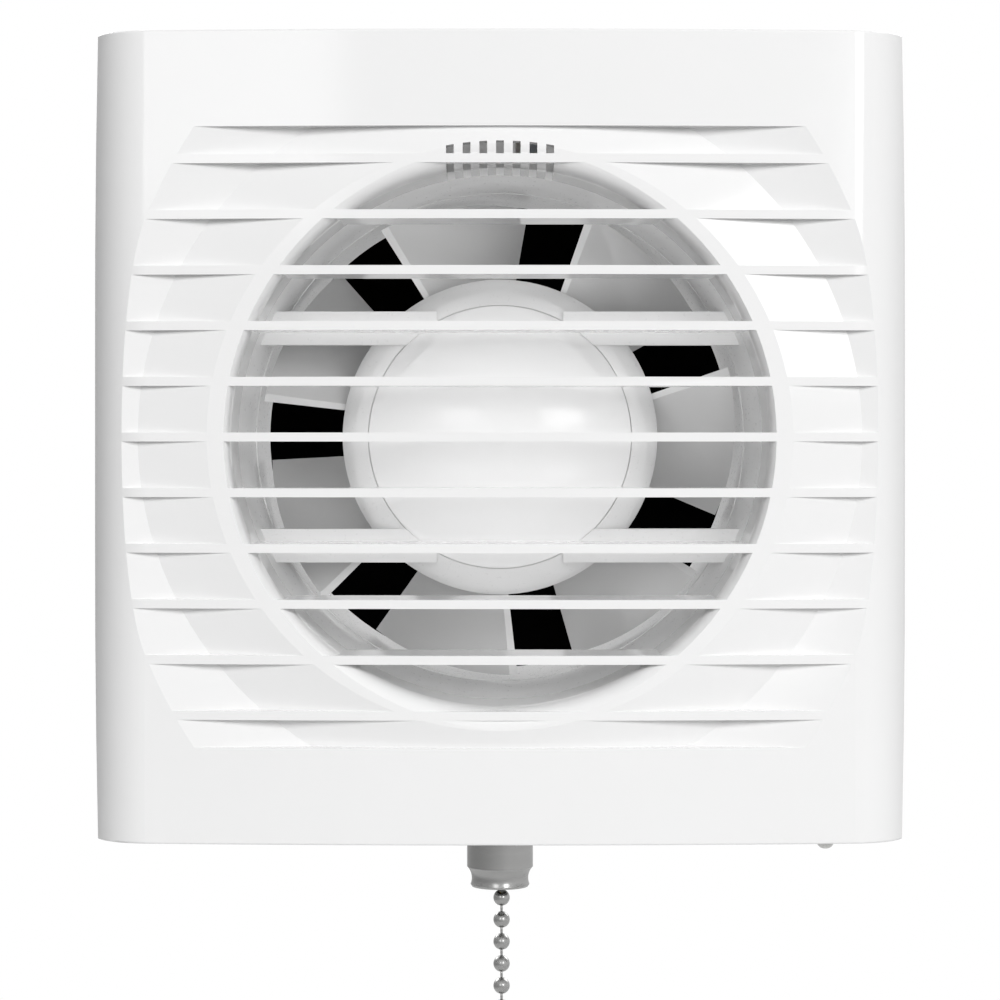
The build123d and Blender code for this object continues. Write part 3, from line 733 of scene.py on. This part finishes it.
class FAN_OT_electrics(bpy.types.Operator):
    """Finish the terminals, the cable clamp, the leads and the switch"""

    bl_idname = "fan.electrics"
    bl_label = "Electrics"

    def execute(self, context):
        give(natural_nylon("#F0EFE8"), "terminal_block", "cable_clamp")
        brass = ["terminal_inserts", "switch_bushing", "fixed_contacts", "moving_contact"]
        give(turned_brass("#C8A557"), *brass)
        give(pvc_sheath("#8E9399"), "motor_leads", "switch_leads")
        give(black_phenolic("#2A2523"), "switch_body", "switch_cover")
        make_return_spring(bright_spring_steel("#9AA0A6"))
        return {"FINISHED"}


class FAN_OT_chain(bpy.types.Operator):
    """Make the bead chain and finish the bell it hangs from and the knob on its end"""

    bl_idname = "fan.chain"
    bl_label = "Pull chain"

    def execute(self, context):
        nickel = satin_nickel(settings().nickel)
        give(nickel, "switch_bell")
        make_top_bead(nickel)
        knob = make_knob(nickel)
        make_bead_chain(nickel)
        return {"FINISHED"}


class FAN_OT_studio(bpy.types.Operator):
    """Make the floor, the black disc of painted duct shade, the surround, the lights and the
    camera
    """

    bl_idname = "fan.studio"
    bl_label = "Studio"

    def execute(self, context):
        make_camera()
        make_surround()
        make_floor()
        make_painted_duct_shade()
        make_lights()
        return {"FINISHED"}


# ---------------------------------------------------------------- return spring
def make_return_spring(material):
    """Compression spring with closed ends, built at one length; in the switch it shortens as the
    chain is pulled.
    """
    low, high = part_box("return_spring")
    wire = settings().spring_wire / 2
    middle = Vector(((low.x + high.x) / 2, (low.y + high.y) / 2, low.z))
    coil = (high.x - low.x) / 2 - wire
    tall = high.z - low.z - 2 * wire
    turns, steps, sides = 7, 40, 12
    closed = 0.14  # share of the wire in each closed end
    even = 0.12  # share of the height that rises evenly over the whole wire
    rings = []
    mesh = bmesh.new()
    for step in range(turns * steps + 1):
        share = step / (turns * steps)
        climb = (share - closed) / (1 - 2 * closed)
        rise = wire + tall * (even * share + (1 - even) * min(max(climb, 0.0), 1.0))
        angle = 2 * math.pi * turns * share
        out = Vector((math.cos(angle), math.sin(angle), 0.0))
        ring = []
        for side in range(sides):
            turn = 2 * math.pi * side / sides
            lift = Vector((0.0, 0.0, rise + wire * math.sin(turn)))
            ring.append(mesh.verts.new(middle + out * (coil + wire * math.cos(turn)) + lift))
        rings.append(ring)
    for first, second in zip(rings, rings[1:]):
        for side in range(sides):
            mesh.faces.new((first[side - 1], first[side], second[side], second[side - 1]))
    mesh.faces.new(rings[0])
    mesh.faces.new(reversed(rings[-1]))
    bmesh.ops.recalc_face_normals(mesh, faces=mesh.faces)
    spring = mesh_piece("compression_spring", mesh, material, "housing")
    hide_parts("return_spring")
    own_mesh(spring)


# ---------------------------------------------------------------- pull chain
def make_top_bead(material):
    """The bead in the bell's mouth, where the chain bends."""
    mesh = bmesh.new()
    middle = (BEAD_LOW + BEAD_HIGH) / 2
    turn_profile(mesh, bead_profile(settings().bead_diameter / 2), middle)
    bead = mesh_piece("top_bead", mesh, material, "bead")
    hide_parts("chain_ball")


def make_knob(material):
    """Turned knob with a collar, two grooves and a rounded end."""
    low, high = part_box("pull_end")
    middle = Vector(((low.x + high.x) / 2, (low.y + high.y) / 2, low.z))
    wide = (high.x - low.x) / 2
    tall = high.z - low.z
    round_end = 0.17 * tall
    groove_half = 0.25 * MM
    neck_steps = 8
    body = [(0.02 * wide, 0.0)]
    body += arc((wide - round_end, round_end), round_end, -90, 0, 8)
    for groove in (0.26 * tall, 0.32 * tall):
        body += [
            (wide * 0.985, groove - groove_half),
            (wide * 0.9, groove),
            (wide * 0.985, groove + groove_half),
        ]
    for step in range(neck_steps + 1):
        share = step / neck_steps
        ease = share * share * (3 - 2 * share)
        body.append((wide * (0.97 - 0.5 * ease), tall * (0.4 + 0.5 * share)))
    collar = [(0.5, 0.93), (0.49, 0.985), (0.46, 1.0)]
    socket = [(0.42, 1.0), (0.4, 0.99), (0.39, 0.93), (0.03, 0.9)]
    body += [(wide * out, tall * up) for out, up in collar + socket]
    mesh = bmesh.new()
    turn_profile(mesh, body, middle, steps=48)
    knob = mesh_piece("chain_knob", mesh, material, "chain")
    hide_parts("pull_end")
    return knob


def make_bead_chain(material):
    """Beads on wire links, hung from the bell down to the knob."""
    top = (CHAIN_LOW + CHAIN_HIGH) / 2
    top.z = CHAIN_HIGH.z
    length = CHAIN_HIGH.z - CHAIN_LOW.z
    route = [top - Vector((0.0, 0.0, length * share)) for share in (0.0, 0.3, 0.7, 1.0)]
    points = spline_points(route)
    radius = settings().bead_diameter / 2
    start = top.z - (BEAD_LOW.z + BEAD_HIGH.z) / 2
    gaps = round((length - start) / settings().bead_pitch)
    beads = at_length(points, [start + (length - start) * k / gaps for k in range(1, gaps + 1)])
    mesh = bmesh.new()
    for place in beads:
        turn_profile(mesh, bead_profile(radius), place, steps=28)
    wire = settings().link_diameter / 2
    ends = [top, *beads]
    for start, end in zip(ends, ends[1:]):
        run = start.z - end.z
        ring = [(wire, 0.46 * run), (1.12 * wire, 0.5 * run), (wire, 0.54 * run)]
        turn_profile(mesh, [(wire, 0.0), *ring, (wire, run)], end, steps=14)
    chain = mesh_piece("bead_chain", mesh, material, "chain")
    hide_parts("pull_chain")


# ---------------------------------------------------------------- studio
def make_camera():
    """A long lens straight in front of the panel, at the height of the duct's axis."""
    data = bpy.data.cameras.new("camera")
    data.lens = studio().lens
    data.shift_y = studio().drop
    made = bpy.data.objects.new("camera", data)
    made.location = (0.0, PANEL_FRONT - studio().distance, 0.0)
    made.rotation_euler = (math.pi / 2, 0.0, 0.0)
    bpy.context.scene.collection.objects.link(made)
    bpy.context.scene.camera = made


def make_surround():
    """White on sight. As a light it dims towards the lower left, and gloss sees it brighter."""
    bpy.context.scene.view_settings.view_transform = "Standard"
    world = bpy.data.worlds.new("surround")
    bpy.context.scene.world = world
    world.use_nodes = True
    tree = world.node_tree
    tree.nodes.clear()
    sky = studio().sky
    place = add_node(tree, "ShaderNodeTexCoord").outputs["Generated"]
    slant = add_node(
        tree, "ShaderNodeVectorMath", {"operation": "DOT_PRODUCT"}, i0=place, i1=(0.7, 0.0, 0.9)
    )
    lean = add_node(
        tree,
        "ShaderNodeMapRange",
        i0=slant.outputs["Value"],
        i1=-1.1,
        i2=1.1,
        i3=0.05 * sky,
        i4=2.1 * sky,
    )
    ray = add_node(tree, "ShaderNodeLightPath")
    strength = add_node(
        tree,
        "ShaderNodeMath",
        {"operation": "MULTIPLY_ADD"},
        i0=ray.outputs["Is Glossy Ray"],
        i1=studio().mirrored,
        i2=lean.outputs[0],
    )
    light = add_node(tree, "ShaderNodeBackground", Color=WHITE, Strength=strength.outputs[0])
    seen = add_node(tree, "ShaderNodeBackground", Color=WHITE, Strength=1.0)
    mix = add_node(
        tree,
        "ShaderNodeMixShader",
        i0=ray.outputs["Is Camera Ray"],
        i1=light.outputs[0],
        i2=seen.outputs[0],
    )
    add_node(tree, "ShaderNodeOutputWorld", Surface=mix.outputs[0])


def stage_disc(name, radius, segments, place, material):
    """A flat disc that belongs to the stage, facing up."""
    mesh = bmesh.new()
    bmesh.ops.create_circle(mesh, cap_ends=True, segments=segments, radius=radius)
    data = bpy.data.meshes.new(name)
    mesh.to_mesh(data)
    mesh.free()
    data.materials.append(material)
    disc = bpy.data.objects.new(name, data)
    disc.location = place
    bpy.context.scene.collection.objects.link(disc)
    return disc


def make_floor():
    """A pale round floor under the chain, which fades out before its edge."""
    made = start_finish(
        "matt_floor_paint",
        ("#DEDEDE", "#D6D6D6"),
        drift=60,
        roughness=(0.7, 0.85),
        grain=8,
        relief=0.02,
    )
    reach = add_node(made.tree, "ShaderNodeVectorMath", {"operation": "LENGTH"}, i0=made.place)
    near, far = FLOOR_FADE
    fade = add_node(
        made.tree,
        "ShaderNodeMapRange",
        i0=reach.outputs["Value"],
        i1=near,
        i2=far,
        i3=1.0,
        i4=0.0,
    )
    feed(made.tree, made.shader, Alpha=fade.outputs[0])
    stage_disc("floor", FLOOR_RADIUS, 96, (0.0, 0.0, CAD_BOX[0].z - FLOOR_GAP), made.material)


def make_painted_duct_shade():
    """A black disc of painted shade behind the blades, which stands in for the shade inside the
    duct. It is seen from the room side only and stops no light.
    """
    # Near-black colours: painted shade for the inside of the duct.
    made = start_finish(
        "painted_duct_shade",
        ("#060606", "#030303"),
        drift=20,
        roughness=(0.85, 0.95),
        grain=3,
        relief=0.02,
        IOR=1.05,
    )
    behind = add_node(made.tree, "ShaderNodeNewGeometry").outputs["Backfacing"]
    in_view = add_node(made.tree, "ShaderNodeLightPath").outputs["Is Camera Ray"]
    solid = add_node(
        made.tree, "ShaderNodeMath", {"operation": "GREATER_THAN"}, i0=in_view, i1=behind
    )
    feed(made.tree, made.shader, Alpha=solid.outputs[0])
    place = (0.0, BLADES_BACK + DUCT_SHADE_GAP, 0.0)
    shade_disc = stage_disc("duct_shade_disc", DUCT_SHADE_RADIUS, 256, place, made.material)
    shade_disc.data.transform(Matrix.Rotation(math.pi / 2, 4, "X"))


def softbox(name, angles, distance, size, radiance):
    """A soft rectangular light that faces the fan.

    angles are degrees to the right of and above straight ahead, and size is width and height.
    """
    turn, rise = (math.radians(angle) for angle in angles)
    width, height = size
    level = Vector((math.sin(turn), -math.cos(turn), 0.0))
    place = level * math.cos(rise) + Vector((0.0, 0.0, math.sin(rise)))
    data = bpy.data.lights.new(name, "AREA")
    data.shape = "RECTANGLE"
    data.size = width
    data.size_y = height
    data.energy = radiance * math.pi * width * height
    made = bpy.data.objects.new(name, data)
    made.location = place * distance
    made.rotation_euler = place.to_track_quat("Z", "Y").to_euler()
    bpy.context.scene.collection.objects.link(made)
    return made


def make_lights():
    """Softboxes before and behind the fan, and two screens that gloss doesn't mirror.

    The slats shade the pieces behind them, so the front screen leaves those pieces to a screen
    of their own, which nothing but they can shade.
    """
    softbox("right_softbox", (25.5, 14.5), 1.5, (0.42, 0.55), studio().right)
    softbox("left_softbox", (-16.5, 16), 1.5, (0.45, 0.55), studio().left)
    screen = softbox("front_screen", (7, 20), 1.3, (0.6, 0.4), studio().front)
    fill = softbox("inner_fill", (3, 2), 1.4, (1.8, 1.8), studio().inner)
    screen.visible_glossy = fill.visible_glossy = False
    softbox("rear_left_softbox", (-145, 32), 1.6, (0.9, 0.8), studio().rear)
    softbox("rear_right_softbox", (145, 32), 1.6, (0.9, 0.8), studio().rear)
    behind_slats = bpy.data.collections.new("behind_slats")
    elsewhere = bpy.data.collections.new("elsewhere")
    for name in ("motor_cap", "motor_carrier", "impeller"):
        behind_slats.objects.link(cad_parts[name])
        elsewhere.objects.link(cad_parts[name])
    for link in elsewhere.collection_objects:
        link.light_linking.link_state = "EXCLUDE"
    screen.light_linking.receiver_collection = elsewhere
    fill.light_linking.blocker_collection = behind_slats
    lit = behind_slats.copy()
    lit.objects.link(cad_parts["rear_housing"])
    fill.light_linking.receiver_collection = lit


class FAN_PT_panel(bpy.types.Panel):
    """Lists the fan's operators"""

    bl_idname = "FAN_PT_panel"
    bl_label = "Extractor Fan"
    bl_space_type = "VIEW_3D"
    bl_region_type = "UI"
    bl_category = "Extractor Fan"

    def draw(self, context):
        for operator in OPERATORS:
            self.layout.operator(operator.bl_idname)


OPERATORS = (
    FAN_OT_studio,
    FAN_OT_chain,
    FAN_OT_shell,
    FAN_OT_impeller,
    FAN_OT_motor,
    FAN_OT_electrics,
)
CLASSES = (FanSettings, StudioSettings, *OPERATORS, FAN_PT_panel)


def register():
    """Registers the classes and hangs both sets of settings on the scene."""
    for item in CLASSES:
        bpy.utils.register_class(item)
    bpy.types.Scene.fan_settings = bpy.props.PointerProperty(type=FanSettings)
    bpy.types.Scene.studio_settings = bpy.props.PointerProperty(type=StudioSettings)


def unregister():
    """Takes back what register adds."""
    del bpy.types.Scene.studio_settings
    del bpy.types.Scene.fan_settings
    for item in reversed(CLASSES):
        bpy.utils.unregister_class(item)


def main():
    """Builds everything in order."""
    register()
    for operator in OPERATORS:
        group, name = operator.bl_idname.split(".")
        getattr(getattr(bpy.ops, group), name)()


if __name__ == "__main__":
    main()
